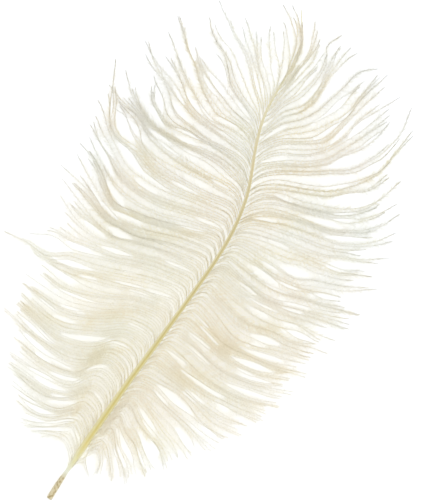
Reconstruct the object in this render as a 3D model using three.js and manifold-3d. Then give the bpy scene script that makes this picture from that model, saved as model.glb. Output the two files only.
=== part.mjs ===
// An ostrich plume as it lies on a table, in millimetres, +Z up.
// One piece of keratin: a quill with a bare root end, and the barbs that grow from both of its sides.
// The barbs hang together in locks, so each lock is one tapered, flattened body grown into the quill.
// X runs across the feather, Y along the chord from the root end to the tip, and the table is at Z = 0.
import * as THREE from "three";
import Module from "manifold-3d";
import { mergeVertices } from "three/addons/utils/BufferGeometryUtils.js";

const wasm = await Module();
wasm.setup();

// The layout below is drawn from the quill's root end. This point of it is the middle of the feather's box.
const BOX_MIDDLE = [7.179, 152.66];

// The quill's centreline: across, along, height.
const QUILL_LINE = [
  [-0.5, 0, 1.6],
  [0, 7, 1.6],
  [0.7, 14, 1.6],
  [2, 24, 2.4],
  [3.5, 38, 4.4],
  [6, 58, 8],
  [8.9, 80, 12],
  [12.1, 101, 15],
  [15.2, 122, 17],
  [18, 142, 18],
  [20.2, 160, 18.2],
  [21, 176, 17.8],
  [20.2, 189, 17],
  [18.2, 201, 15.9],
  [15.1, 211, 14.8],
  [12, 220, 13.6],
  [9.2, 230, 12.2],
  [7.3, 240, 10.8],
  [6.8, 250, 9.3],
  [7.3, 262, 7.5],
  [8, 273, 5.8],
  [7.2, 283, 4.2],
  [3.6, 293, 2.5],
  [-2, 303, 0.8],
];
// The quill's radius at distances along the feather: the dry root end, the narrow neck, the thickest place
// just inside the first barbs, and the long taper to the tip.
const QUILL_RADII = [
  [0, 1.6],
  [8, 1.6],
  [14, 1.3],
  [18, 1.15],
  [30, 2.1],
  [60, 1.85],
  [120, 1.35],
  [180, 1.1],
  [240, 0.8],
  [285, 0.5],
  [303, 0.25],
];
const QUILL_SIDES = 8;
const QUILL_STEPS = 40;

// Each lock: how far along the feather it leaves the quill, then the places that it passes, the last one its tip.
const LEFT_LOCKS = [
  [31, [-8, 35], [-18, 33], [-26, 28]],
  [38, [-8, 43], [-17, 37], [-33, 29]],
  [46, [-8, 50], [-18, 42], [-29, 38], [-41, 40]],
  [54, [-8, 57], [-18, 48], [-31, 45], [-48, 47]],
  [62, [-8, 65], [-18, 55], [-32, 52], [-55, 55]],
  [70, [-8, 73], [-19, 62], [-33, 60], [-57, 61]],
  [78, [-8, 81], [-20, 69], [-35, 67], [-59, 70]],
  [86, [-7, 88], [-20, 77], [-36, 75], [-71, 82]],
  [94, [-6, 96], [-19, 86], [-38, 81], [-66, 87]],
  [102, [-6, 103], [-20, 94], [-40, 88], [-66, 93]],
  [109, [-6, 109], [-22, 101], [-42, 95], [-68, 99]],
  [116, [-6, 115], [-25, 106], [-44, 102], [-69, 104]],
  [122, [-7, 121], [-28, 113], [-48, 109], [-64, 113]],
  [129, [-5, 127], [-30, 121], [-50, 118], [-65, 120]],
  [136, [-5, 135], [-30, 128.5], [-50, 124], [-66, 121], [-92, 119]],
  [142, [-4, 141], [-28, 135.5], [-50, 131], [-69, 127]],
  [148, [-2, 147], [-28, 141.5], [-43, 140.5], [-58, 143.5], [-73, 151]],
  [153, [-2, 151.5], [-26, 146], [-42, 145.5], [-56, 150.5], [-75, 158.5]],
  [159, [-2, 156.5], [-28, 150.5], [-45, 152.5], [-58, 160], [-80, 166]],
  [164, [-2, 161], [-28, 155], [-43, 155.5], [-58, 164.5], [-74, 175.5]],
  [169, [-2, 166], [-28, 161.5], [-43, 160.5], [-53, 169], [-62, 176], [-76, 182]],
  [174, [-2, 171.5], [-20, 167.5], [-35, 167.5], [-47, 169.5], [-60, 178], [-73, 186]],
  [179, [-1, 177], [-25, 173.5], [-43, 175], [-56, 181], [-66, 189], [-74, 197]],
  [187, [-1, 186], [-25, 185], [-42, 188], [-56, 194], [-67, 203], [-75, 218], [-81, 232]],
  [192, [-1, 192], [-25, 193], [-45, 197], [-57, 202], [-70, 208]],
  [198, [0, 199], [-24, 201], [-40, 203], [-52, 204.5], [-63, 211], [-77, 217]],
  [204, [0, 207.5], [-24, 206.5], [-50, 208.5], [-60, 215.5], [-72, 229]],
  [209, [-1, 211.5], [-22, 211.5], [-42, 211], [-50, 217], [-56, 226], [-64, 239]],
  [213, [-2, 215], [-20, 216], [-35, 218], [-45, 225.5], [-55, 237]],
  [216, [-2, 217.5], [-20, 219], [-36, 225], [-48, 234], [-57, 243], [-64, 253]],
  [219, [-3, 220], [-19, 222.5], [-34, 228], [-48, 236], [-60, 241], [-71, 248]],
  [223, [-3, 225], [-18, 226], [-33, 234], [-48, 247], [-61, 258]],
  [227, [-2, 229], [-17, 230], [-32, 241], [-46, 254], [-61, 269]],
  [231, [-1, 232], [-14, 235], [-28, 243], [-41, 253], [-52, 268]],
  [235, [-2, 237], [-14, 242], [-37, 254]],
  [239, [-3, 241], [-20, 251], [-33, 264], [-45, 277]],
  [244, [-1, 248], [-10, 258], [-20, 268], [-34, 277], [-44, 287]],
  [250, [0, 254], [-8, 263], [-16, 273], [-27, 284]],
  [257, [2, 262], [-4, 270], [-12, 287]],
  [264, [4, 271], [0, 281], [-4, 290], [-11, 295]],
  [271, [5, 280], [-2.5, 291.5], [-12.5, 300.5]],
  [288, [3.5, 294], [0, 299.5], [-3.5, 304.9]],
];
const RIGHT_LOCKS = [
  [26, [5, 25.5], [8.5, 21.5]],
  [33, [10, 35], [15, 30], [14, 21]],
  [40, [11, 43], [18, 36], [25, 24]],
  [48, [12, 51], [19, 44], [27, 36], [33, 27]],
  [56, [13, 59], [21, 52], [33, 44], [41, 35]],
  [64, [14, 67], [25, 60], [39, 53], [49, 44]],
  [72, [16, 74], [30, 68], [46, 61], [57, 54]],
  [80, [21, 80], [37, 76], [53, 70], [67, 65]],
  [88, [25, 87], [44, 84], [62, 79], [77, 80]],
  [97, [26, 95], [46, 91], [66, 90], [82, 91]],
  [106, [28, 104], [50, 99], [70, 99], [88, 103]],
  [114, [30, 112], [50, 107], [70, 108], [92, 113]],
  [122, [30, 119], [50, 114], [70, 115], [86, 119]],
  [130, [30, 127], [46, 121], [64, 121], [94, 125]],
  [138, [30, 135], [48, 127], [66, 129], [91, 135]],
  [145, [31, 142], [49, 137], [68, 138], [98, 142]],
  [152, [33, 150], [53, 146], [71, 147], [99, 150]],
  [158, [33, 156], [54, 152], [72, 154], [103, 160]],
  [164, [34, 162], [54, 159], [72, 162], [104, 169]],
  [170, [34, 170], [54, 167], [74, 171], [92, 177], [106, 186]],
  [176, [34, 177], [54, 178], [76, 182], [101, 191]],
  [181, [34, 184], [54, 187], [78, 191], [105, 203]],
  [186, [34, 190], [54, 195], [76, 199], [92, 208], [101, 219]],
  [191, [33, 196], [54, 200], [74, 204], [89, 213], [98, 228]],
  [196, [32, 201], [52, 205], [70, 210], [85, 220], [94, 233]],
  [201, [31, 206], [50, 210], [68, 216], [83, 229], [90, 245]],
  [206, [30, 211], [48, 217], [64, 225], [76, 240], [80, 256], [84, 272]],
  [211, [28, 217], [43, 225], [60, 237], [71, 248], [77, 263], [76, 283]],
  [216, [26, 222], [41, 229], [53, 241], [60, 257], [68, 274]],
  [221, [24, 227], [37, 233], [48, 244], [54, 260], [59, 271], [68, 286]],
  [225, [22, 232], [33, 237], [42, 243], [47, 256], [49, 272], [56, 294]],
  [229, [20, 236], [30, 243], [38, 251], [45, 263], [49, 277], [51, 290]],
  [234, [18, 242], [27, 250], [34, 262], [38, 275], [44, 287], [53, 293]],
  [238, [16, 246], [24, 255], [28, 266], [28, 280], [32, 301]],
  [242, [14, 250], [20, 259], [23, 271], [24, 282], [20, 292], [24, 302]],
  [248, [13, 256], [16.5, 268], [19, 278], [20, 287]],
  [262, [11.5, 270], [12.5, 281], [11.5, 291], [9, 301]],
  [270, [9.5, 279], [8, 290], [4.5, 300]],
];
const LOCK_SIDES = 6;
const LOCK_STEPS = 6;
const LOCK_THICKNESS = 2.6; // where a lock is fullest
const LOCK_WIDTH = 9; // at most
const SLIT = 1; // between neighbouring locks
const TIP_WIDTH = 1.6;
const TIP_THICKNESS = 0.8;
const TIP_LIFTS = [0, 3, 1, 5.5]; // how high the tips of neighbouring locks stay off the table
const ARCH = 5; // how far a lock rises above the straight slope to its tip

// A value read from rows of [place, value] by straight lines between them.
function readAt(rows, place) {
  const next = rows.findIndex(([at]) => at >= place);
  if (next <= 0) return rows[next === 0 ? 0 : rows.length - 1][1];
  const [[at0, v0], [at1, v1]] = [rows[next - 1], rows[next]];
  return v0 + ((v1 - v0) * (place - at0)) / (at1 - at0);
}

// A closed tube along a curve, halfWidth(t) wide to each side of it and halfHeight(t) above and below it.
// Half a side's turn puts a flat side underneath.
function tube(curve, halfWidth, halfHeight, sides, steps) {
  const geometry = new THREE.CylinderGeometry(1, 1, 1, sides, steps);
  const position = geometry.getAttribute("position");
  const up = new THREE.Vector3(0, 0, 1);
  const flatSide = 1 / Math.cos(Math.PI / sides);
  for (let i = 0; i < position.count; i++) {
    const t = 0.5 + position.getY(i);
    const out = Math.hypot(position.getX(i), position.getZ(i)) > 0.5 ? flatSide : 0;
    const angle = Math.atan2(position.getX(i), position.getZ(i)) + Math.PI / sides;
    const along = curve.getTangent(t);
    const across = new THREE.Vector3().crossVectors(up, along).normalize();
    const above = new THREE.Vector3().crossVectors(along, across);
    const place = curve
      .getPoint(t)
      .addScaledVector(across, -out * Math.sin(angle) * halfWidth(t))
      .addScaledVector(above, out * Math.cos(angle) * halfHeight(t));
    position.setXYZ(i, place.x, place.y, place.z);
  }
  return geometry;
}

function solidOf(geometry) {
  geometry.deleteAttribute("normal");
  geometry.deleteAttribute("uv");
  const merged = mergeVertices(geometry, 1e-4);
  return new wasm.Manifold(
    new wasm.Mesh({
      numProp: 3,
      vertProperties: merged.attributes.position.array,
      triVerts: new Uint32Array(merged.index.array),
    }),
  );
}

function geometryOf(solid) {
  const mesh = solid.getMesh();
  const geometry = new THREE.BufferGeometry();
  geometry.setAttribute("position", new THREE.BufferAttribute(mesh.vertProperties, mesh.numProp));
  geometry.setIndex(new THREE.BufferAttribute(mesh.triVerts, 1));
  return geometry;
}

const quillCurve = new THREE.CatmullRomCurve3(
  QUILL_LINE.map(([x, y, z]) => new THREE.Vector3(x, y, z)),
);

// The point of the quill's centreline that lies this far along the feather.
function quillPoint(along) {
  let low = 0;
  let high = 1;
  for (let i = 0; i < 30; i++) {
    const middle = (low + high) / 2;
    if (quillCurve.getPoint(middle).y < along) low = middle;
    else high = middle;
  }
  return quillCurve.getPoint(low);
}

function quill() {
  const radius = (t) => readAt(QUILL_RADII, quillCurve.getPoint(t).y);
  return tube(quillCurve, radius, radius, QUILL_SIDES, QUILL_STEPS);
}

// A lock's line: out of the quill's side, up in a low arch, and down to its tip on or just above the table.
function lockCurve([along, ...places], lift) {
  const root = quillPoint(along);
  const plan = [root, ...places.map(([x, y]) => new THREE.Vector3(x, y, root.z))];
  const runs = plan.map((place, i) => (i ? place.distanceTo(plan[i - 1]) : 0));
  const length = runs.reduce((sum, run) => sum + run);
  const tipHeight = TIP_THICKNESS / 2 + lift;
  let gone = 0;
  const points = plan.map(({ x, y }, i) => {
    gone += runs[i] / length;
    const height = root.z + (tipHeight - root.z) * gone + ARCH * Math.sin(Math.PI * gone);
    return new THREE.Vector3(x, y, height);
  });
  return new THREE.CatmullRomCurve3(points, false, "centripetal");
}

// How far a place is from a curve, seen from above.
function planDistance(place, curve) {
  const distances = curve.getPoints(60).map(({ x, y }) => Math.hypot(x - place.x, y - place.y));
  return Math.min(...distances);
}

// A lock is as wide as its neighbours leave room for, and narrows to a blunt tip.
function lock(curve, neighbours) {
  const halfWidth = (t) => {
    const room = Math.min(...neighbours.map((other) => planDistance(curve.getPoint(t), other)));
    const full = Math.min(LOCK_WIDTH, Math.max(TIP_WIDTH, room - SLIT));
    return (full + (TIP_WIDTH - full) * t ** 3) / 2;
  };
  const halfHeight = (t) => (TIP_THICKNESS + (LOCK_THICKNESS - TIP_THICKNESS) * Math.sin(Math.PI * t)) / 2;
  return tube(curve, halfWidth, halfHeight, LOCK_SIDES, LOCK_STEPS);
}

function locks(rows) {
  const curves = rows.map((row, i) => lockCurve(row, TIP_LIFTS[i % TIP_LIFTS.length]));
  return curves.map((curve, i) => lock(curve, [curves[i - 1], curves[i + 1]].filter(Boolean)));
}

const grown = wasm.Manifold.union([quill(), ...locks(LEFT_LOCKS), ...locks(RIGHT_LOCKS)].map(solidOf));
// Small pockets shut in between crossing locks are filled: only the outer skin is kept.
const [skin] = grown.decompose().sort((a, b) => b.volume() - a.volume());

const feather = new THREE.Mesh(
  geometryOf(skin),
  new THREE.MeshStandardMaterial({ color: 0xf1e8d4, roughness: 0.85, metalness: 0 }),
);
feather.name = "feather";
feather.position.set(-BOX_MIDDLE[0], -BOX_MIDDLE[1], 0);

const plume = new THREE.Group();
plume.add(feather);

export default plume;
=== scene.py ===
"""An ostrich plume on a pale table: a golden quill and, on each side, 167 long barbs with their fluff.

The barbs follow the locks that the CAD part is made of, and a few more between them. They are evenly
spaced where they leave the quill, and are drawn together into locks that taper to loose tips. Lengths
in the layout are millimetres, and meshes are in metres.
"""

import math

import bpy
import numpy as np
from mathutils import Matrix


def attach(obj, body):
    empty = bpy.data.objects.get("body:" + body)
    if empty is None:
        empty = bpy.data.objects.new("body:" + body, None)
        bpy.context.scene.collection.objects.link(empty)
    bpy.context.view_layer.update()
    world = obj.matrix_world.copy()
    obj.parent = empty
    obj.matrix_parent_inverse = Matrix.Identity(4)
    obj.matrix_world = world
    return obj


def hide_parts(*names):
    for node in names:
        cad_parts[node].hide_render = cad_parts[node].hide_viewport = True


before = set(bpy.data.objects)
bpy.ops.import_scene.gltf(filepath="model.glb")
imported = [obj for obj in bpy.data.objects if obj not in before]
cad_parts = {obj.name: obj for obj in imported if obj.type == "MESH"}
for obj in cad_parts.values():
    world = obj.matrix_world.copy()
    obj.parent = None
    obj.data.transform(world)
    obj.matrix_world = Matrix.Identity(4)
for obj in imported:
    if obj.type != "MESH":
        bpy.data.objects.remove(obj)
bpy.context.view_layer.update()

MM = 0.001
SEED = 20
LEFT, RIGHT = -1, 1

# The layout of the plume, in the same millimetres as the CAD part: X across, Y along from the root end.
BOX_MIDDLE = (7.179, 152.66)
QUILL_LINE = [
    (-0.5, 0, 1.6), (0, 7, 1.6), (0.7, 14, 1.6), (2, 24, 2.4), (3.5, 38, 4.4), (6, 58, 8),
    (8.9, 80, 12), (12.1, 101, 15), (15.2, 122, 17), (18, 142, 18), (20.2, 160, 18.2), (21, 176, 17.8),
    (20.2, 189, 17), (18.2, 201, 15.9), (15.1, 211, 14.8), (12, 220, 13.6), (9.2, 230, 12.2),
    (7.3, 240, 10.8), (6.8, 250, 9.3), (7.3, 262, 7.5), (8, 273, 5.8), (7.2, 283, 4.2), (3.6, 293, 2.5),
    (-2, 303, 0.8),
]
QUILL_RADII = [
    (0, 1.6), (8, 1.6), (14, 1.3), (18, 1.15), (30, 2.1), (60, 1.85), (120, 1.35), (180, 1.1), (240, 0.8),
    (285, 0.5), (303, 0.25),
]
QUILL_END = 303
# Each lock: how far along it leaves the quill, then the places that it passes, the last one its tip.
LEFT_LOCKS = [
    (31, (-8, 35), (-18, 33), (-26, 28)),
    (38, (-8, 43), (-17, 37), (-33, 29)),
    (46, (-8, 50), (-18, 42), (-29, 38), (-41, 40)),
    (54, (-8, 57), (-18, 48), (-31, 45), (-48, 47)),
    (62, (-8, 65), (-18, 55), (-32, 52), (-55, 55)),
    (70, (-8, 73), (-19, 62), (-33, 60), (-57, 61)),
    (78, (-8, 81), (-20, 69), (-35, 67), (-59, 70)),
    (86, (-7, 88), (-20, 77), (-36, 75), (-71, 82)),
    (94, (-6, 96), (-19, 86), (-38, 81), (-66, 87)),
    (102, (-6, 103), (-20, 94), (-40, 88), (-66, 93)),
    (109, (-6, 109), (-22, 101), (-42, 95), (-68, 99)),
    (116, (-6, 115), (-25, 106), (-44, 102), (-69, 104)),
    (122, (-7, 121), (-28, 113), (-48, 109), (-64, 113)),
    (129, (-5, 127), (-30, 121), (-50, 118), (-65, 120)),
    (136, (-5, 135), (-30, 128.5), (-50, 124), (-66, 121), (-92, 119)),
    (142, (-4, 141), (-28, 135.5), (-50, 131), (-69, 127)),
    (148, (-2, 147), (-28, 141.5), (-43, 140.5), (-58, 143.5), (-73, 151)),
    (153, (-2, 151.5), (-26, 146), (-42, 145.5), (-56, 150.5), (-75, 158.5)),
    (159, (-2, 156.5), (-28, 150.5), (-45, 152.5), (-58, 160), (-80, 166)),
    (164, (-2, 161), (-28, 155), (-43, 155.5), (-58, 164.5), (-74, 175.5)),
    (169, (-2, 166), (-28, 161.5), (-43, 160.5), (-53, 169), (-62, 176), (-76, 182)),
    (174, (-2, 171.5), (-20, 167.5), (-35, 167.5), (-47, 169.5), (-60, 178), (-73, 186)),
    (179, (-1, 177), (-25, 173.5), (-43, 175), (-56, 181), (-66, 189), (-74, 197)),
    (183, (-1, 181.5), (-25, 179.5), (-41, 182), (-54, 189.5), (-66, 199), (-78, 208)),
    (187, (-1, 186), (-25, 185), (-42, 188), (-56, 194), (-67, 203), (-75, 218), (-81, 232)),
    (192, (-1, 192), (-25, 193), (-45, 197), (-57, 202), (-70, 208)),
    (198, (0, 199), (-24, 201), (-40, 203), (-52, 204.5), (-63, 211), (-77, 217)),
    (204, (0, 207.5), (-24, 206.5), (-50, 208.5), (-60, 215.5), (-72, 229)),
    (209, (-1, 211.5), (-22, 211.5), (-42, 211), (-50, 217), (-56, 226), (-64, 239)),
    (213, (-2, 215), (-20, 216), (-35, 218), (-45, 225.5), (-55, 237)),
    (216, (-2, 217.5), (-20, 219), (-36, 225), (-48, 234), (-57, 243), (-64, 253)),
    (219, (-3, 220), (-19, 222.5), (-34, 228), (-48, 236), (-60, 241), (-71, 248)),
    (223, (-3, 225), (-18, 226), (-33, 234), (-48, 247), (-61, 258)),
    (227, (-2, 229), (-17, 230), (-32, 241), (-46, 254), (-61, 269)),
    (231, (-1, 232), (-14, 235), (-28, 243), (-41, 253), (-52, 268)),
    (235, (-2, 237), (-14, 242), (-37, 254)),
    (239, (-3, 241), (-20, 251), (-33, 264), (-45, 277)),
    (244, (-1, 248), (-10, 258), (-20, 268), (-34, 277), (-44, 287)),
    (250, (0, 254), (-8, 263), (-16, 273), (-27, 284)),
    (257, (2, 262), (-4, 270), (-12, 287)),
    (264, (4, 271), (0, 281), (-4, 290), (-11, 295)),
    (271, (5, 280), (-2.5, 291.5), (-12.5, 300.5)),
]
RIGHT_LOCKS = [
    (26, (5, 25.5), (8.5, 21.5)),
    (33, (10, 35), (15, 30), (14, 21)),
    (40, (11, 43), (18, 36), (25, 24)),
    (48, (12, 51), (19, 44), (27, 36), (33, 27)),
    (56, (13, 59), (21, 52), (33, 44), (41, 35)),
    (64, (14, 67), (25, 60), (39, 53), (49, 44)),
    (72, (16, 74), (30, 68), (46, 61), (57, 54)),
    (80, (21, 80), (37, 76), (53, 70), (67, 65)),
    (88, (25, 87), (44, 84), (62, 79), (77, 80)),
    (97, (26, 95), (46, 91), (66, 90), (82, 91)),
    (106, (28, 104), (50, 99), (70, 99), (88, 103)),
    (114, (30, 112), (50, 107), (70, 108), (92, 113)),
    (122, (30, 119), (50, 114), (70, 115), (86, 119)),
    (130, (30, 127), (46, 121), (64, 121), (94, 125)),
    (138, (30, 135), (48, 127), (66, 129), (91, 135)),
    (145, (31, 142), (49, 137), (68, 138), (98, 142)),
    (152, (33, 150), (53, 146), (71, 147), (99, 150)),
    (158, (33, 156), (54, 152), (72, 154), (103, 160)),
    (164, (34, 162), (54, 159), (72, 162), (104, 169)),
    (170, (34, 170), (54, 167), (74, 171), (92, 177), (106, 186)),
    (176, (34, 177), (54, 178), (76, 182), (101, 191)),
    (181, (34, 184), (54, 187), (78, 191), (105, 203)),
    (186, (34, 190), (54, 195), (76, 199), (92, 208), (101, 219)),
    (191, (33, 196), (54, 200), (74, 204), (89, 213), (98, 228)),
    (196, (32, 201), (52, 205), (70, 210), (85, 220), (94, 233)),
    (201, (31, 206), (50, 210), (68, 216), (83, 229), (90, 245)),
    (206, (30, 211), (48, 217), (64, 225), (76, 240), (80, 256), (84, 272)),
    (211, (28, 217), (43, 225), (60, 237), (71, 248), (77, 263), (76, 283)),
    (216, (26, 222), (41, 229), (53, 241), (60, 257), (68, 274)),
    (221, (24, 227), (37, 233), (48, 244), (54, 260), (59, 271), (68, 286)),
    (225, (22, 232), (33, 237), (42, 243), (47, 256), (49, 272), (56, 294)),
    (229, (20, 236), (30, 243), (38, 251), (45, 263), (49, 277), (51, 290)),
    (234, (18, 242), (27, 250), (34, 262), (38, 275), (44, 287), (53, 293)),
    (238, (16, 246), (24, 255), (28, 266), (28, 280), (32, 301)),
    (242, (14, 250), (20, 259), (23, 271), (24, 282), (20, 292), (24, 302)),
    (248, (13, 256), (16.5, 268), (19, 278), (20, 287)),
    (254, (12.5, 262), (15.5, 272), (17, 280), (16, 291)),
    (262, (11.5, 270), (12.5, 281), (11.5, 291), (9, 301)),
    (270, (9.5, 279), (8, 290), (4.5, 300)),
]
# Where the last few barbs go, beyond the last locks.
LEFT_LAST = [(279, (4.5, 288), (-1.5, 296), (-7.5, 303)), (288, (3.5, 294), (0, 299.5), (-3.5, 304.9))]
RIGHT_LAST = [(279, (8, 286), (6, 292), (3, 298)), (287, (5.5, 293), (2.5, 299), (-0.5, 304.5))]
# Where the vane folds: the barbs lie closer together there, and painted golden shade darkens each fold.
# x, y, half length, half width, and the angle it lies at, in degrees.
FOLDS = [
    # The left vane, from the root end up.
    (-9, 54, 8, 3, 82), (-14, 80, 11, 3, 76), (-3, 92, 7, 2, 42), (-45, 89, 9, 2, 16),
    (-60, 87.5, 4, 2.5, 25), (-25, 97, 5, 2, 80), (-15, 108, 13, 2.2, 33), (-35, 103.5, 6, 1.5, 42),
    (-38, 119, 9, 2, 26), (-18, 128, 15, 2.5, 20), (-10, 158.5, 12, 1.6, 20), (-33, 158.5, 12, 1.5, 12),
    (0, 165, 8, 1.5, 20), (-48.5, 167, 7, 1.6, 122), (-10, 175, 14, 1.6, 9), (-5, 184, 9, 2, 10),
    (-37, 188, 8, 2.5, 150), (-38, 178, 8, 2, 165), (-15, 196, 14, 2, 5), (3, 199, 8, 2.5, 12),
    (-57, 197, 8, 1.6, 158), (-70, 207, 7, 1.5, 122), (-28, 207.5, 11, 1.5, 2), (-33, 226, 12, 3, 135),
    (-8, 228, 12, 2, 4), (-32, 237, 6, 3, 130), (-40, 247, 7, 2, 132), (-47, 256, 9, 1.6, 118),
    (-3, 253, 8, 2.5, 130),
    # The right vane, and the frond at the tip.
    (20, 48, 6, 2.5, 118), (27, 66, 6, 2.5, 150), (33, 56, 8, 6, 125), (35, 92.5, 7, 1.5, 166),
    (42, 97, 13, 3, 3), (38, 121, 12, 3, 160), (57, 121, 13, 3.5, 3), (80, 122, 9, 1.5, 12),
    (65, 141, 12, 2.5, 18), (40, 168, 6, 2, 30), (55, 179, 14, 2, 17), (30, 190, 12, 2.5, 27),
    (42, 194.5, 8, 2, 12), (50, 201.5, 17, 1.4, 12), (30, 208, 12, 2, 22), (48, 214.5, 11, 1.5, 15),
    (35, 222.5, 18, 2, 24), (60, 221.5, 9, 2, 30), (30, 241, 12, 2.5, 36), (72, 238, 6, 2.5, 45),
    (46, 246, 7, 2.5, 88), (78, 251, 11, 3, 88), (8, 277, 16, 5, 93), (3, 297, 7, 4, 110),
    (25, 255, 7, 2, 70), (42, 255, 9, 2, 60), (28, 269, 10, 1.5, 80), (48, 270, 8, 1.6, 82),
]
TIP_THICKNESS = 0.8
TIP_LIFTS = (0, 3, 1, 5.5)
ARCH = 5

# Barbs.
GUIDE_POINTS = 81
FIRST_BARB, LAST_BARB = 27, 289  # where along the quill the first and last one turn outwards
UPPER_HALF = (120, 210)  # along here the looser barbs and the finer fluff of the upper half take over
BARB_PITCH = 1.4
PITCH_JITTER = 0.3
# How much further apart the barbs stand, at places along the quill.
PITCH_STRETCH = ((FIRST_BARB, 36, 235, 255, 268, LAST_BARB), (1.6, 1, 1, 1.6, 2.6, 3.4))
# A barb grows out of the quill SWEEP nearer the root end, and sweeps forward before it turns outwards.
# SWEEP_REACH is how far from the quill it has turned, at two places along the feather.
SWEEP = 6
SWEEP_JITTER = 1.2
SWEEP_REACH = ((235, 262), (4.5, 1.6))
# Neighbouring barbs stick together in strands of so many.
STRAND_SIZES = (1, 2, 3, 4, 5, 6)
STRAND_ODDS = (0.2, 0.3, 0.24, 0.14, 0.08, 0.04)
STRAND_HOLD = 0.3  # how strongly a strand holds its barbs
# By the number of the lock: how strongly a strand is drawn to the nearest lock, and how far it wanders aside.
LOCK_PULL = {LEFT: ((10, 30), (0.1, 0.3)), RIGHT: ((12, 30), (0.1, 0.4))}
WANDER = {LEFT: ((8, 16, 28, 31), (1.2, 1.7, 1.7, 1)), RIGHT: ((10, 18, 33, 36), (1.2, 1.7, 1.7, 1.2))}
LONE_WANDER = 1.6  # a barb that is a strand of its own wanders this much further
LEAD_WANDER = 0.15
LEAD_RANGE = 0.15  # the barbs this close to a lock's middle line, as a share of the way to the next, lead it
BARB_RINGS = 30
BARB_RADIUS = (0.12, 0.1)  # at the quill and at the tip
FLOOR_GAP = 0.12

# Openings between neighbouring locks: where along the locks, their half lengths, and their half widths
# as shares of the distance between the locks.
LOCK_OPENING_PLACE = (0.45, 0.85)
LOCK_OPENING_LENGTH = (6, 11)
LOCK_OPENING_WIDTH = (0.06, 0.2)
# Smaller openings, anywhere on each side: how many, their half lengths and half widths, and how far
# apart they lie at least, across and along.
SMALL_OPENINGS = 50
SMALL_OPENING_LENGTH = (4.5, 8)
SMALL_OPENING_WIDTH = (0.32, 0.72)
SMALL_OPENING_CLEARANCE = (4, 14)
FOLD_GRIP = 0.25  # how much closer together the barbs lie along the middle of a fold

# Barbules, the fluff on a barb: so many on each millimetre of it, at places along the quill.
BARBULES_PER_MM = {
    LEFT: ((27, 60, 100, 150, 200, 289), (5.5, 8, 10, 10.5, 12, 14)),
    RIGHT: ((27, 40, 60, 80, 105, 130, 190, 289), (5, 8, 11, 11, 13, 13, 14, 15)),
}
# Their full length at places along the quill, and its share along a barb, in the lower and the upper half.
BARBULE_LENGTH = ((30, 100, 150, 190, 240, 265, 285), (6.5, 6.2, 5.1, 4.5, 4.1, 3.3, 2.6))
LOW_PROFILE = ((0, 0.1, 0.2, 0.35, 0.7, 0.9, 1), (0.2, 0.5, 0.85, 1, 0.9, 0.65, 0.3))
HIGH_PROFILE = ((0, 0.1, 0.25, 0.45, 0.75, 0.92, 1), (0.3, 0.5, 0.7, 0.95, 1, 0.8, 0.2))
BARBULE_WIDTH = (0.06, 0.17)  # in the lower and the upper half
FINE_SHARE = 0.45  # in the upper half, this share of the barbules is long and fine
TUFT = (1.2, 1.6)  # barbules this close together along a barb share a tuft
BARBULE_LEAN = ((0, 0.6, 0.9, 1), (65, 62, 50, 20))  # away from the barb, along it, in degrees

# The colours of fluff and stems from the quill to a barb's tip, in the lower and the upper half. In the
# upper half a few stems are dark and some are brown.
BARB_TONES = {
    "low_fluff": [(0.0, (0.965, 0.935, 0.83)), (0.22, (0.985, 0.967, 0.905)), (1.0, (0.985, 0.97, 0.915))],
    "high_fluff": [
        (0.0, (0.975, 0.965, 0.915)),
        (0.22, (0.987, 0.982, 0.957)),
        (0.7, (0.987, 0.984, 0.967)),
        (1.0, (0.94, 0.937, 0.91)),
    ],
    "low_stem": [
        (0.0, (0.87, 0.81, 0.61)),
        (0.15, (0.92, 0.88, 0.73)),
        (0.35, (0.965, 0.945, 0.86)),
        (1.0, (0.975, 0.96, 0.895)),
    ],
    "high_stem": [
        (0.0, (0.87, 0.83, 0.66)),
        (0.3, (0.955, 0.94, 0.88)),
        (0.85, (0.945, 0.94, 0.9)),
        (1.0, (0.36, 0.35, 0.29)),
    ],
    "dark_stem": [
        (0.0, (0.80, 0.74, 0.56)),
        (0.3, (0.74, 0.70, 0.58)),
        (0.8, (0.58, 0.56, 0.47)),
        (1.0, (0.25, 0.25, 0.20)),
    ],
    "brown_stem": [
        (0.0, (0.80, 0.74, 0.55)),
        (0.3, (0.88, 0.83, 0.68)),
        (0.8, (0.87, 0.83, 0.71)),
        (1.0, (0.38, 0.36, 0.30)),
    ],
}
FEW_DARK = [(0.08, (1, 1, 1)), (0.12, (0, 0, 0))]
SOME_BROWN = [(0.75, (0, 0, 0)), (0.8, (1, 1, 1))]
DRIFT = [(0.35, (0.99, 1.0, 0.99)), (0.65, (1.0, 0.985, 0.965))]
STREAKS = [(0.42, (0.97, 0.95, 0.89)), (0.55, (0.99, 0.985, 0.965)), (0.7, (1.0, 1.0, 1.0))]
# The painted golden shade of the folds, from none to the darkest.
FOLD_SHADE_TINT = [(0.0, (1.0, 1.0, 1.0)), (0.9, (0.985, 0.96, 0.88))]
# The quill's colours from its root end to its tip, along its middle, and at its sides with a painted
# highlight.
QUILL_MIDDLE = [
    (0.0, (0.84, 0.74, 0.47)),
    (0.044, (0.80, 0.70, 0.44)),
    (0.058, (0.95, 0.97, 0.80)),
    (0.08, (0.92, 0.89, 0.50)),
    (0.12, (0.87, 0.74, 0.27)),
    (0.17, (0.77, 0.65, 0.20)),
    (0.45, (0.66, 0.54, 0.20)),
    (0.6, (0.63, 0.52, 0.235)),
    (0.71, (0.73, 0.62, 0.35)),
    (0.84, (0.88, 0.85, 0.62)),
    (1.0, (0.92, 0.90, 0.72)),
]
# The pale painted highlight on the quill's sides.
QUILL_EDGE_HIGHLIGHT = [
    (0.0, (0.80, 0.72, 0.52)),
    (0.044, (0.78, 0.72, 0.52)),
    (0.058, (0.95, 0.97, 0.85)),
    (0.12, (0.95, 0.90, 0.60)),
    (1.0, (0.93, 0.88, 0.68)),
]
MOTTLING = [(0.38, (0.62, 0.55, 0.42)), (0.5, (0.95, 0.94, 0.9)), (0.62, (1.0, 1.0, 1.0))]
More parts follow.
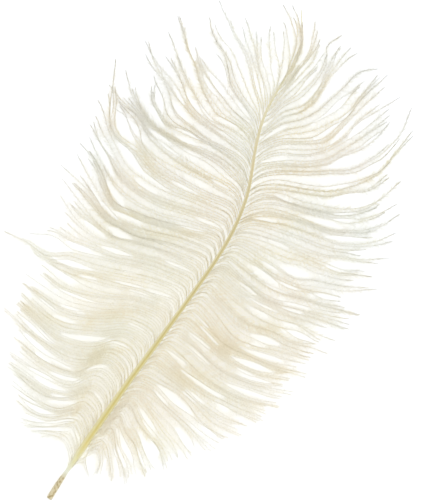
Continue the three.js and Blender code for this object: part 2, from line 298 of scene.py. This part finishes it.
FINE_LINES = [(0.35, (0.94, 0.93, 0.90)), (0.6, (1.0, 1.0, 1.0))]
SHAFT = [(0.045, (0, 0, 0)), (0.055, (1, 1, 1))]

# Barbs and quill.
GLOW_SHARE = 0.42  # how much of a barb's shading is light that comes through it
BARB_PARTS = (("root", 0, 100), ("lower", 100, 150), ("upper", 150, 200), ("tip", 200, 400))
QUILL_SIDES, QUILL_RINGS = 18, 260
GROOVE_DEPTH = 0.22  # as a share of the quill's radius

# The studio. The camera looks straight down at a place in the layout, from a height in metres.
WHITE = (1, 1, 1, 1)
FLOOR_COLOUR = (0.945, 0.967, 1, 1)
FLOOR_GLOW = 0.28
WORLD_LIGHT = 0.795
LAMP_SIZE, LAMP_ENERGY = 1.6, 4
CAMERA_AIM = (19.95, 164.3)
CAMERA_HEIGHT = 1.0415
CAMERA_TURN = 27.5877  # degrees
FLOOR_SIZE = 4.0  # metres


def catmull_rom(points, count):
    """A smooth line through points, as count points evenly spaced along it."""
    points = np.asarray(points, float)
    ends = 2 * points[[0, -1]] - points[[1, -2]]
    knots = np.vstack([ends[:1], points, ends[1:]])
    gaps = np.sqrt(np.linalg.norm(np.diff(knots, axis=0), axis=1))
    places = np.concatenate([[0], np.cumsum(gaps)])
    line = []
    for i in range(len(knots) - 3):
        p0, p1, p2, p3 = knots[i : i + 4]
        t0, t1, t2, t3 = places[i : i + 4]
        t = np.linspace(t1, t2, 24, endpoint=False)[:, None]
        a1 = ((t1 - t) * p0 + (t - t0) * p1) / (t1 - t0)
        a2 = ((t2 - t) * p1 + (t - t1) * p2) / (t2 - t1)
        a3 = ((t3 - t) * p2 + (t - t2) * p3) / (t3 - t2)
        b1 = ((t2 - t) * a1 + (t - t0) * a2) / (t2 - t0)
        b2 = ((t3 - t) * a2 + (t - t1) * a3) / (t3 - t1)
        line.append(((t2 - t) * b1 + (t - t1) * b2) / (t2 - t1))
    line = np.vstack(line + [points[-1:]])
    run = np.concatenate([[0], np.cumsum(np.linalg.norm(np.diff(line, axis=0), axis=1))])
    even = np.linspace(0, run[-1], count)
    return np.stack([np.interp(even, run, line[:, k]) for k in range(3)], axis=1)


quill_line = catmull_rom(QUILL_LINE, 600)


def quill_at(along):
    """The quill's centre at distances along the feather."""
    return np.stack([np.interp(along, quill_line[:, 1], quill_line[:, k]) for k in range(3)], axis=-1)


def quill_radius(along):
    places, radii = zip(*QUILL_RADII)
    return np.interp(along, places, radii)


def smooth(low, high, value):
    share = np.clip((value - low) / (high - low), 0, 1)
    return share * share * (3 - 2 * share)


def unit(vectors):
    return vectors / np.maximum(np.linalg.norm(vectors, axis=-1, keepdims=True), 1e-9)


def guide(row, side, lift):
    """A lock's middle line: forward out of the quill, outwards in a low arch, and down to its tip."""
    along, *places = row
    root = quill_at(along - SWEEP)
    turn = quill_at(along)
    reach = np.interp(along, *SWEEP_REACH)
    plan = [root[:2], turn[:2] + (side * reach, -0.8)] + [np.array(place, float) for place in places]
    runs = np.array([0] + [np.linalg.norm(b - a) for a, b in zip(plan, plan[1:])])
    share = np.cumsum(runs) / runs.sum()
    tip = TIP_THICKNESS / 2 + lift
    height = root[2] + (tip - root[2]) * share + ARCH * np.sin(math.pi * share)
    return catmull_rom(np.column_stack([plan, height]), GUIDE_POINTS)


def along_guides(guides, place, share):
    """Points at shares of the way along lines that lie between two neighbouring guides. Place 2.5 is
    halfway between the third and the fourth."""
    low = np.clip(place.astype(int), 0, len(guides) - 2)
    between = (place - low)[:, None, None]
    at = share * (guides.shape[1] - 1)
    cell = np.minimum(at.astype(int), guides.shape[1] - 2)
    past = (at - cell)[..., None]

    def read(index):
        line = guides[index]
        row = np.arange(len(index))[:, None]
        return line[row, cell] * (1 - past) + line[row, cell + 1] * past

    return read(low) * (1 - between) + read(low + 1) * between


def strand_of_each(count, rng):
    """The number of the strand that each barb is in."""
    sizes = rng.choice(STRAND_SIZES, count, p=STRAND_ODDS)
    return np.repeat(np.arange(count), sizes)[:count]


def barb_roots(rng):
    """Where along the quill the barbs turn outwards: evenly spaced, and further apart near the tip."""
    places = np.linspace(FIRST_BARB, LAST_BARB, 400)
    pitch = BARB_PITCH * np.interp(places, *PITCH_STRETCH)
    passed = np.concatenate([[0], np.cumsum(np.diff(places) / pitch[1:])])
    count = int(passed[-1])
    return np.interp(np.arange(count) + rng.uniform(-PITCH_JITTER, PITCH_JITTER, count), passed, places)


def strand_courses(place, strand, side):
    """Where among the locks each barb's strand runs, how far it wanders aside, and which barbs lead.
    Those are the nearest to a lock's middle line, and keep to it all the way to its tip."""
    weight = np.bincount(strand)
    middle = np.bincount(strand, place) / weight
    wander = np.interp(middle, *WANDER[side])[strand][:, None]
    middle += np.interp(middle, *LOCK_PULL[side]) * (np.rint(middle) - middle)
    middle = middle[strand]
    wander[weight[strand] == 1] *= LONE_WANDER
    leads = np.abs(place - np.rint(place)) < LEAD_RANGE
    middle[leads] = np.rint(place[leads])
    wander[leads] *= LEAD_WANDER
    return middle, wander, leads


def reach_of_each(strand, high, leads, rng):
    """How far along the locks each barb goes. The barbs of a strand end near each other."""
    shortest = 0.92 - 0.08 * high
    reach = shortest + (1 - shortest) * rng.uniform(0, 1, strand.max() + 1)[strand]
    reach *= 1 - (0.03 + 0.15 * high) * rng.uniform(0, 1, len(strand)) ** 2
    reach[leads] = 1
    return reach


def held_together(apart, together, share, leads, rng):
    """Lines drawn from their own courses to their strands' courses, less so towards the tips. A few
    barbs hardly hold at all."""
    hold = STRAND_HOLD * np.where(rng.uniform(0, 1, len(apart)) < 0.12, 0.2, 1)
    hold[leads] = 1
    letting_go = 1 - 0.7 * smooth(0.6, 1, share)
    grip = (hold[:, None] * smooth(0.05, 0.35, share) * letting_go)[..., None]
    return apart * (1 - grip) + together * grip


def strayed(lines, share, strand, high, leads, wander, rng):
    """Lines of strands that wander and cross each other, and of barbs that stray from their strands
    towards the tip."""
    _, sideways, _ = frames(lines)
    count, strands = len(lines), strand.max() + 1
    high, loose = high[:, None], np.where(leads, 0.2, 1)[:, None]

    def each_strand(draw, *range_of_it):
        return draw(*range_of_it, strands)[strand][:, None]

    def each_barb():
        return rng.normal(0, 1, count)[:, None]

    swing = np.sin(each_strand(rng.uniform, 0, 6.3) + 6.3 * each_strand(rng.uniform, 0.4, 1.1) * share)
    swing *= smooth(0.05, 0.35, share)
    ripple = np.sin(rng.uniform(0, 6, count)[:, None] + rng.uniform(12, 22, count)[:, None] * share)
    aside = wander * (each_strand(rng.normal, 0, 0.45) * swing + each_strand(rng.normal, 0, 1) * share**1.8)
    aside += 0.15 * ripple * smooth(0.1, 0.3, share)
    aside += 0.8 * (loose * high) * each_barb() * smooth(0.1, 0.4, share)
    aside += (0.9 + 1.0 * high) * loose * each_barb() * share**1.5
    aside += (1.8 - 0.8 * high) * loose * each_barb() * share**5
    lines = lines + aside[..., None] * sideways
    lines[..., 2] += each_strand(rng.normal, 0, 0.8) * swing
    lines[..., 2] += 0.8 * each_barb() * share**1.5
    return lines


def from_quill(lines, roots, share, side, rng):
    """Lines that start on the quill's skin and bend from there into their courses."""
    sweep = SWEEP + rng.uniform(-SWEEP_JITTER, SWEEP_JITTER, len(roots))
    start = quill_at(roots - sweep) + quill_radius(roots - sweep)[:, None] * (side * 0.7, 0, 0.35)
    return lines + (start - lines[:, 0])[:, None, :] * (1 - smooth(0, 0.15, share))[..., None]


def make_barbs(rows, side, rng):
    """Lines of barbs, one row of points each, where each leaves the quill, its strand, and the openings."""
    guides = np.array([guide(row, side, TIP_LIFTS[i % len(TIP_LIFTS)]) for i, row in enumerate(rows)])
    alongs = np.array([row[0] for row in rows], float)
    roots = barb_roots(rng)
    high = smooth(*UPPER_HALF, roots)
    place = np.interp(roots, alongs, np.arange(len(rows)))
    place += np.minimum(roots - alongs[0], 0) / (alongs[1] - alongs[0])
    strand = strand_of_each(len(roots), rng)
    middle, wander, leads = strand_courses(place, strand, side)
    share = np.linspace(0, 1, BARB_RINGS) * reach_of_each(strand, high, leads, rng)[:, None]
    apart, together = along_guides(guides, place, share), along_guides(guides, middle, share)
    lines = held_together(apart, together, share, leads, rng)
    lines = strayed(lines, share, strand, high, leads, wander, rng)
    lines = gather(from_quill(lines, roots, share, side, rng))
    openings = np.vstack([lock_openings(guides, rng), small_openings(lines, roots, rng)])
    lines = part(lines, openings)
    lines[..., 2] = np.maximum(lines[..., 2], FLOOR_GAP + 0.1)
    return lines, roots, strand, openings


def lock_openings(guides, rng):
    """One slender opening between each two neighbouring locks, wider where they stand further apart."""
    found = []
    for midline, apart in zip((guides[1:] + guides[:-1]) / 2, guides[1:] - guides[:-1]):
        place = int(rng.uniform(*LOCK_OPENING_PLACE) * (len(midline) - 1))
        way = midline[place + 1, :2] - midline[place - 1, :2]
        width = rng.uniform(*LOCK_OPENING_WIDTH) * np.linalg.norm(apart[place, :2])
        angle = math.degrees(math.atan2(way[1], way[0]))
        found.append((*midline[place, :2], rng.uniform(*LOCK_OPENING_LENGTH), width, angle))
    return np.array(found)


def small_openings(lines, roots, rng):
    """Random slender openings that lie along the barbs, no two of them close together."""
    along, _, _ = frames(lines)
    kept = []
    across, ahead = SMALL_OPENING_CLEARANCE
    for _ in range(6 * SMALL_OPENINGS):
        i, j = rng.integers(len(lines)), rng.integers(5, 26)
        length = rng.uniform(*SMALL_OPENING_LENGTH)
        width = rng.uniform(*SMALL_OPENING_WIDTH) * (0.8 + 0.4 * smooth(*UPPER_HALF, roots[i]))
        place, way = lines[i, j, :2], along[i, j, :2]
        past = [place - (x, y) for x, y, *_ in kept]
        apart = [abs(np.cross(way, step)) / across + abs(way @ step) / ahead for step in past]
        if len(kept) < SMALL_OPENINGS and min(apart, default=9) > 1:
            kept.append((*place, length, width, math.degrees(math.atan2(way[1], way[0]))))
    return np.array(kept)


def part(lines, openings):
    """Lines moved out of the openings. A whole line goes to the side that it mostly lies on."""
    lines = lines.copy()
    for x, y, half_length, half_width, angle in openings:
        turn = math.radians(angle)
        length_way, width_way = (math.cos(turn), math.sin(turn)), (-math.sin(turn), math.cos(turn))
        reach = 5 * half_width + 1
        close = (np.abs(lines[..., :2] - (x, y)).max(axis=-1) < 1.5 * half_length + reach).any(axis=1)
        past = lines[close, :, :2] - (x, y)
        near = np.clip(1 - (past @ length_way / (1.5 * half_length)) ** 2, 0, 1) ** 2
        across = past @ width_way
        side = np.sign((across * near).sum(axis=1, keepdims=True) + 1e-9)
        inside = across * side
        weight = np.clip(1 - np.abs(inside) / reach, 0, 1)
        shift = side * (half_width * near - np.minimum(inside, 0) * near) * weight
        lines[close, :, :2] += shift[..., None] * width_way
    return lines


def kept_share(base, end, openings):
    """How much of each barbule stays, for it to end before the openings."""
    kept = np.ones(len(base))
    for x, y, half_length, half_width, angle in openings:
        turn = math.radians(angle)
        length_way, width_way = (math.cos(turn), math.sin(turn)), (-math.sin(turn), math.cos(turn))
        close = np.abs(base[:, :2] - (x, y)).max(axis=1) < 1.5 * half_length + 8
        start, stop = base[close, :2] - (x, y), end[close, :2] - (x, y)
        rim = half_width * np.clip(1 - (stop @ length_way / (1.5 * half_length)) ** 2, 0, 1) ** 2
        side = np.sign(start @ width_way + 1e-9)
        start, stop = (start @ width_way) * side, (stop @ width_way) * side
        crossing = (stop < rim) & (rim > 0.15) & (start > stop + 0.01)
        share = np.clip((start - rim) / np.maximum(start - stop, 0.01), 0.15, 1)
        kept[close] = np.where(crossing, np.minimum(kept[close], share), kept[close])
    return kept


def across_fold(points, fold):
    """How far points lie along a fold and to its side, as shares of its half length and half width."""
    x, y, half_length, half_width, angle = fold
    turn = math.radians(angle)
    past = points[..., :2] - (x, y)
    width_way = np.array((-math.sin(turn), math.cos(turn)))
    return past @ (math.cos(turn), math.sin(turn)) / half_length, past @ width_way / half_width, width_way


def gather(lines):
    """Lines drawn towards the middles of the folds."""
    lines = lines.copy()
    for fold in FOLDS:
        length_share, width_share, width_way = across_fold(lines, fold)
        grip = FOLD_GRIP * np.exp(-(length_share**2) - (width_share / 1.5) ** 2)
        lines[..., :2] -= (grip * width_share * fold[3])[..., None] * width_way
    return lines


def gold_at(points):
    """How much painted golden shade the folds put at points: 0 to 1."""
    gold = np.zeros(len(points))
    for fold in FOLDS:
        length_share, width_share, _ = across_fold(points, fold)
        gold += np.exp(-(length_share**2) - (width_share / 1.5) ** 2)
    return 1 - np.exp(-gold)


def frames(lines):
    """Unit vectors along, sideways (level) and above each point of each line."""
    along = unit(np.gradient(lines, axis=1))
    sideways = unit(np.cross(np.array([0, 0, 1.0]), along))
    return along, sideways, np.cross(along, sideways)


def barb_tubes(lines):
    """A tapering three-sided tube around each line."""
    count, rings, _ = lines.shape
    _, sideways, above = frames(lines)
    share = np.linspace(0, 1, rings)[None, :, None]
    radius = BARB_RADIUS[0] + (BARB_RADIUS[1] - BARB_RADIUS[0]) * share
    corners = [
        lines + radius * (math.cos(angle) * sideways + math.sin(angle) * above)
        for angle in (math.radians(90 + 120 * k) for k in range(3))
    ]
    points = np.stack(corners, axis=2).reshape(-1, 3)
    first = (np.arange(count)[:, None] * rings + np.arange(rings - 1)[None, :]) * 3
    quads = []
    for k in range(3):
        n = (k + 1) % 3
        quads.append(np.stack([first + k, first + n, first + n + 3, first + k + 3], axis=-1))
    quads = np.stack(quads, axis=2).reshape(-1, 4)
    faces = np.concatenate([quads[:, [0, 1, 2]], quads[:, [0, 2, 3]]])
    tip = np.repeat(np.broadcast_to(share[..., 0], (count, rings)).reshape(-1), 3)
    return points, faces, tip


def place_barbules(lines, roots, strand, per_mm, rng):
    """The barb that each barbule grows from, at which share of it and to which hand, the share at the
    middle of its tuft, and the tuft's own size, lean and tilt."""
    lengths = np.linalg.norm(np.diff(lines, axis=1), axis=2).sum(axis=1)
    numbers = (lengths * np.interp(roots, *per_mm)).astype(int)
    owner = np.repeat(np.arange(len(lines)), numbers)
    number = np.arange(len(owner)) - np.repeat(np.cumsum(numbers) - numbers, numbers)
    share = 0.015 + 0.985 * (number + rng.uniform(0, 1, len(owner))) / numbers[owner]
    hand = number % 2
    strand = strand - strand.min()
    tufts = (lengths / np.interp(roots, UPPER_HALF, TUFT)).astype(int) + 1
    tufts = np.maximum.reduceat(tufts, np.searchsorted(strand, np.unique(strand)))[strand]
    tuft = (share * tufts[owner]).astype(int)
    tuft_middle = (tuft + 0.5) / tufts[owner]
    tuft = 2 * (tufts.max() * strand[owner] + tuft) + hand
    of_tuft = rng.normal(0, 1, (3, 2 * tufts.max() * (strand.max() + 1)))[:, tuft]
    return owner, share, hand, tuft_middle, of_tuft


def barbule_sizes(owner, share, roots, high, tuft_size, rng):
    """The length and half the width of each barbule."""
    total = len(owner)
    fullest = np.interp(roots, *BARBULE_LENGTH)
    fullest = (fullest * rng.uniform(0.75 - 0.2 * smooth(*UPPER_HALF, roots), 1.15, len(roots)))[owner]
    low_profile, high_profile = np.interp(share, *LOW_PROFILE), np.interp(share, *HIGH_PROFILE)
    profile = low_profile + high * (high_profile - low_profile)
    size = (1 + 0.25 * tuft_size).clip(0.4, 1.6) * rng.uniform(0.65, 1.1, total)
    fine = (rng.uniform(0, 1, total) < FINE_SHARE) * high
    length = fullest * profile * size * (1 + 1.1 * fine - 0.32 * high)
    width = (BARBULE_WIDTH[0] + (BARBULE_WIDTH[1] - BARBULE_WIDTH[0]) * high) * (1 - 0.6 * fine)
    return length[:, None], width[:, None] / 2


def barbules(lines, roots, strand, openings, per_mm, rng):
    """Slender bent ribbons along both sides of each line, drawn together in small tufts. The tufts of
    barbs that stick together lie beside each other."""
    rings = lines.shape[1]
    owner, share, hand, tuft_middle, of_tuft = place_barbules(lines, roots, strand, per_mm, rng)
    tuft_size, tuft_lean, tuft_tilt = of_tuft
    total = len(owner)

    def sample(field, share):
        at = share.clip(0, 1) * (rings - 1)
        cell = np.minimum(at.astype(int), rings - 2)
        past = (at - cell)[:, None]
        return field[owner, cell] * (1 - past) + field[owner, cell + 1] * past

    base, forward, side, up = (sample(field, share) for field in (lines, *frames(lines)))
    high = smooth(*UPPER_HALF, roots[owner])
    length, half = barbule_sizes(owner, share, roots, high, tuft_size, rng)
    lean = np.interp(share, *BARBULE_LEAN) - 12 * high
    lean += (3 + 8 * high) * tuft_lean + (4 + 4 * high) * rng.normal(0, 1, total)
    tilt = np.radians((6 + 14 * high) * tuft_tilt + rng.normal(0, 20, total))[:, None]
    lean = np.radians(lean)[:, None]
    out = (2 * hand - 1)[:, None] * side * np.cos(tilt) + up * np.sin(tilt)
    first = unit(forward * np.cos(lean) + out * np.sin(lean))
    second = unit(first + forward * rng.uniform(0.0, 0.6, (total, 1)))
    middle = base + first * length * 0.5
    end = middle + second * length * 0.5
    to_tuft = sample(lines, tuft_middle) - base
    drawn = 0.05 + 0.35 * high[:, None]
    middle += 0.75 * drawn * to_tuft
    end += drawn * to_tuft
    kept = kept_share(base, end, openings)[:, None]
    middle = base + kept * (middle - base)
    end = base + kept * (end - base)
    roll = np.radians(rng.normal(0, 25, total))[:, None]
    flat = unit(np.cross(up * np.cos(roll) + side * np.sin(roll), first)) * half
    points = np.stack([base - flat, base + flat, middle + flat * 0.8, middle - flat * 0.8, end], axis=1)
    points[..., 2] = np.maximum(points[..., 2], FLOOR_GAP)
    corner = np.arange(total)[:, None] * 5
    faces = np.concatenate([corner + np.array(f) for f in ((0, 1, 2), (0, 2, 3), (3, 2, 4))])
    return points.reshape(-1, 3), faces, np.repeat(share, 5), np.repeat(owner, 5)


def piece(name, points, faces, material, **values):
    """A named mesh object in place of the feather, from points in layout millimetres, with values at them."""
    places = (points - (BOX_MIDDLE[0], BOX_MIDDLE[1], 0)) * MM
    mesh = bpy.data.meshes.new(name)
    mesh.vertices.add(len(places))
    mesh.vertices.foreach_set("co", places.astype(np.float32).ravel())
    mesh.loops.add(faces.size)
    mesh.loops.foreach_set("vertex_index", faces.astype(np.int32).ravel())
    mesh.polygons.add(len(faces))
    mesh.polygons.foreach_set("loop_start", np.arange(0, faces.size, 3, dtype=np.int32))
    mesh.polygons.foreach_set("use_smooth", np.ones(len(faces), bool))
    mesh.update(calc_edges=True)
    for label, value in values.items():
        mesh.attributes.new(label, "FLOAT", "POINT").data.foreach_set("value", value.astype(np.float32))
    mesh.materials.append(material)
    obj = bpy.data.objects.new(name, mesh)
    bpy.context.scene.collection.objects.link(obj)
    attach(obj, "root")
    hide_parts("feather")


def quill_mesh():
    """The quill's skin: a round tube with a shallow groove, closed at both ends."""
    sides, rings = QUILL_SIDES, QUILL_RINGS
    along = np.linspace(0, QUILL_END, rings)
    centre = quill_at(along)
    tangent, sideways, above = frames(centre[None])
    sideways, above = sideways[0], above[0]
    angles = np.linspace(0, 2 * math.pi, sides, endpoint=False)
    radius = quill_radius(along)[:, None]
    dent = GROOVE_DEPTH * np.exp(-(((angles - math.radians(80)) / 0.35) ** 2))[None, :]
    dent = dent * smooth(24, 45, along)[:, None]
    reach = radius * (1 - dent)
    points = (
        centre[:, None]
        + (reach * np.cos(angles))[..., None] * -sideways[:, None]
        + (reach * np.sin(angles))[..., None] * above[:, None]
    )
    points = np.concatenate([points.reshape(-1, 3), centre[[0, -1]]])
    faces = []
    for i in range(rings - 1):
        for k in range(sides):
            a, b = i * sides + k, i * sides + (k + 1) % sides
            faces += [(a, b, b + sides), (a, b + sides, a + sides)]
    last = (rings - 1) * sides
    for k in range(sides):
        n = (k + 1) % sides
        faces += [(n, k, rings * sides), (last + k, last + n, rings * sides + 1)]
    # How much of the painted highlight each point takes: most on the quill's level sides, none on its top and
    # underside.
    edge = np.broadcast_to(np.abs(np.cos(angles + math.radians(8))), (rings, sides)).reshape(-1)
    return points, np.array(faces), np.concatenate([edge, [0, 0]])


def node(tree, kind, **values):
    made = tree.nodes.new(kind)
    for name, value in values.items():
        if name in made.inputs:
            made.inputs[name].default_value = value
        else:
            setattr(made, name, value)
    return made


def ramp(tree, value, stops):
    """The colour at a value, between stops."""
    made = tree.nodes.new("ShaderNodeValToRGB")
    elements = made.color_ramp.elements
    while len(elements) < len(stops):
        elements.new(0.5)
    for element, (place, colour) in zip(elements, stops):
        element.position = place
        element.color = (*colour, 1)
    tree.links.new(value, made.inputs["Fac"])
    return made.outputs["Color"]


def stretched(tree, vector, scale):
    """A vector times a scale along each of its axes."""
    made = node(tree, "ShaderNodeVectorMath", operation="MULTIPLY")
    made.inputs[1].default_value = scale
    tree.links.new(vector, made.inputs[0])
    return made.outputs[0]


def noise(tree, vector, scale, detail):
    made = node(tree, "ShaderNodeTexNoise", Scale=scale, Detail=detail)
    tree.links.new(vector, made.inputs["Vector"])
    return made.outputs["Fac"]


def keratin(name, roughness):
    material = bpy.data.materials.new(name)
    material.use_nodes = True
    tree = material.node_tree
    shader = tree.nodes["Principled BSDF"]
    shader.inputs["Roughness"].default_value = roughness
    shader.inputs["Specular IOR Level"].default_value = 0.25
    return material, tree, shader


def mixed(tree, share, first, second):
    """A colour between two others, by the share of the second."""
    mix = node(tree, "ShaderNodeMixRGB")
    tree.links.new(share, mix.inputs["Fac"])
    tree.links.new(first, mix.inputs["Color1"])
    tree.links.new(second, mix.inputs["Color2"])
    return mix.outputs["Color"]


def multiplied(tree, first, second):
    mix = node(tree, "ShaderNodeMixRGB", Fac=1.0, blend_type="MULTIPLY")
    tree.links.new(first, mix.inputs["Color1"])
    tree.links.new(second, mix.inputs["Color2"])
    return mix.outputs["Color"]


def barb_tone(tree, tip, high, stem, shade):
    """The fluff's colour or the stem's, each between its tones for the lower and the upper half."""
    tones = {name: ramp(tree, tip, stops) for name, stops in BARB_TONES.items()}
    fluff = mixed(tree, high, tones["low_fluff"], tones["high_fluff"])
    stems = mixed(tree, ramp(tree, shade, FEW_DARK), tones["high_stem"], tones["dark_stem"])
    stems = mixed(tree, ramp(tree, shade, SOME_BROWN), stems, tones["brown_stem"])
    stems = mixed(tree, high, tones["low_stem"], stems)
    return mixed(tree, stem, fluff, stems)


def streaks(tree, tip, root, shade):
    """Golden streaks that run along the barbs, a few barbs wide."""
    place = node(tree, "ShaderNodeCombineXYZ")
    tree.links.new(tip, place.inputs["X"])
    tree.links.new(root, place.inputs["Y"])
    streak = noise(tree, stretched(tree, place.outputs[0], (2.2, 28, 1)), 1.0, 2.0)
    uneven = node(tree, "ShaderNodeMath", operation="MULTIPLY_ADD")
    uneven.inputs[1].default_value = 0.15
    tree.links.new(shade, uneven.inputs[0])
    tree.links.new(streak, uneven.inputs[2])
    return ramp(tree, uneven.outputs[0], STREAKS)


def barb_material():
    """Keratin threads that let light through. Their down is cream near the root end, greyer and
    dark-tipped further up, and each barb's stem is olive tan where it leaves the quill."""
    material, tree, shader = keratin("barb_cream", 0.75)
    tip, high, stem, shade, root, gold = (
        node(tree, "ShaderNodeAttribute", attribute_name=name).outputs["Fac"]
        for name in ("tip", "high", "stem", "shade", "root", "gold")
    )
    tone = barb_tone(tree, tip, high, stem, shade)
    # Slow drifts between warm and greenish cream.
    coordinates = node(tree, "ShaderNodeTexCoord")
    drift = noise(tree, coordinates.outputs["Object"], 35.0, 2.0)
    tone = multiplied(tree, tone, ramp(tree, drift, DRIFT))
    tone = multiplied(tree, tone, streaks(tree, tip, root, shade))
    # Painted golden shade where the vane folds.
    tone = multiplied(tree, tone, ramp(tree, gold, FOLD_SHADE_TINT))
    glow = node(tree, "ShaderNodeBsdfTranslucent")
    mix = node(tree, "ShaderNodeMixShader", Fac=GLOW_SHARE)
    tree.links.new(tone, shader.inputs["Base Color"])
    tree.links.new(tone, glow.inputs["Color"])
    tree.links.new(shader.outputs[0], mix.inputs[1])
    tree.links.new(glow.outputs[0], mix.inputs[2])
    tree.links.new(mix.outputs[0], tree.nodes["Material Output"].inputs["Surface"])
    return material


def quill_material():
    """Gold along the middle, with a painted highlight that pales its sides, a dry tan root end and a clear
    greenish neck.
    """
    material, tree, shader = keratin("quill_gold", 0.42)
    coordinates = node(tree, "ShaderNodeTexCoord")
    split = node(tree, "ShaderNodeSeparateXYZ")
    run = node(tree, "ShaderNodeMapRange")
    run.inputs["From Min"].default_value = -BOX_MIDDLE[1] * MM
    run.inputs["From Max"].default_value = (QUILL_END - BOX_MIDDLE[1]) * MM
    tree.links.new(coordinates.outputs["Object"], split.inputs[0])
    tree.links.new(split.outputs["Y"], run.inputs["Value"])
    middle = ramp(tree, run.outputs["Result"], QUILL_MIDDLE)
    edges = ramp(tree, run.outputs["Result"], QUILL_EDGE_HIGHLIGHT)
    # The sides are mixed towards pale: a painted highlight.
    side = node(tree, "ShaderNodeAttribute", attribute_name="edge")
    tone = mixed(tree, side.outputs["Fac"], middle, edges)

    # The dry root end is mottled, and fine lines run along the rest.
    mottle = noise(tree, coordinates.outputs["Object"], 700.0, 3.0)
    spots = ramp(tree, mottle, MOTTLING)
    grain = noise(tree, stretched(tree, coordinates.outputs["Object"], (2500, 60, 2500)), 1.0, 2.0)
    fine_lines = ramp(tree, grain, FINE_LINES)
    marks = mixed(tree, ramp(tree, run.outputs["Result"], SHAFT), spots, fine_lines)
    tree.links.new(multiplied(tree, tone, marks), shader.inputs["Base Color"])
    return material


def build_plume():
    rng = np.random.default_rng(SEED)
    cream = barb_material()
    sides = ((LEFT, "left", LEFT_LOCKS + LEFT_LAST), (RIGHT, "right", RIGHT_LOCKS + RIGHT_LAST))
    for side, name, rows in sides:
        lines, roots, strand, openings = make_barbs(rows, side, rng)
        shade = rng.uniform(0, 1, len(roots))
        for label, low, high in BARB_PARTS:
            chosen = (roots >= low) & (roots < high)
            tube_points, tube_faces, tube_tip = barb_tubes(lines[chosen])
            fluff_points, fluff_faces, fluff_tip, owner = barbules(
                lines[chosen], roots[chosen], strand[chosen], openings, BARBULES_PER_MM[side], rng
            )
            whole = np.concatenate([np.repeat(np.arange(chosen.sum()), BARB_RINGS * 3), owner])
            points = np.concatenate([tube_points, fluff_points])
            piece(
                f"barbs_{name}_{label}",
                points,
                np.concatenate([tube_faces, fluff_faces + len(tube_points)]),
                cream,
                tip=np.concatenate([tube_tip, fluff_tip]),
                stem=np.concatenate([np.ones(len(tube_tip)), np.zeros(len(fluff_tip))]),
                shade=shade[chosen][whole],
                high=smooth(*UPPER_HALF, roots[chosen])[whole],
                root=roots[chosen][whole] / 100 + side,
                # How much painted fold shade each point takes.
                gold=gold_at(points),
            )
    points, faces, edge = quill_mesh()
    piece("quill", points, faces, quill_material(), edge=edge)


def studio():
    """A pale floor under soft, even light, and a camera that looks straight down."""
    bpy.ops.mesh.primitive_plane_add(size=FLOOR_SIZE, location=(0, 0, 0))
    floor = bpy.context.object
    floor.name = "floor"
    pale = bpy.data.materials.new("floor_pale")
    pale.use_nodes = True
    shader = pale.node_tree.nodes["Principled BSDF"]
    shader.inputs["Base Color"].default_value = FLOOR_COLOUR
    shader.inputs["Roughness"].default_value = 1
    shader.inputs["Emission Color"].default_value = WHITE
    shader.inputs["Emission Strength"].default_value = FLOOR_GLOW
    floor.data.materials.append(pale)

    world = bpy.data.worlds.new("studio")
    bpy.context.scene.world = world
    world.use_nodes = True
    background = world.node_tree.nodes["Background"]
    background.inputs["Color"].default_value = WHITE
    background.inputs["Strength"].default_value = WORLD_LIGHT

    lamp = bpy.data.lights.new("softbox", "AREA")
    lamp.size = LAMP_SIZE
    lamp.energy = LAMP_ENERGY
    softbox = bpy.data.objects.new("softbox", lamp)
    softbox.location = (0.25, 0.5, 1.6)
    softbox.rotation_euler = (math.radians(-17), math.radians(9), 0)
    bpy.context.scene.collection.objects.link(softbox)

    lens = bpy.data.cameras.new("camera")
    lens.lens = 135
    lens.sensor_width = 36
    camera = bpy.data.objects.new("camera", lens)
    aim = [(place - middle) * MM for place, middle in zip(CAMERA_AIM, BOX_MIDDLE)]
    camera.location = (*aim, CAMERA_HEIGHT)
    camera.rotation_euler = (0, 0, math.radians(CAMERA_TURN))
    bpy.context.scene.collection.objects.link(camera)
    bpy.context.scene.camera = camera
    bpy.context.scene.view_settings.view_transform = "Standard"


build_plume()
studio()
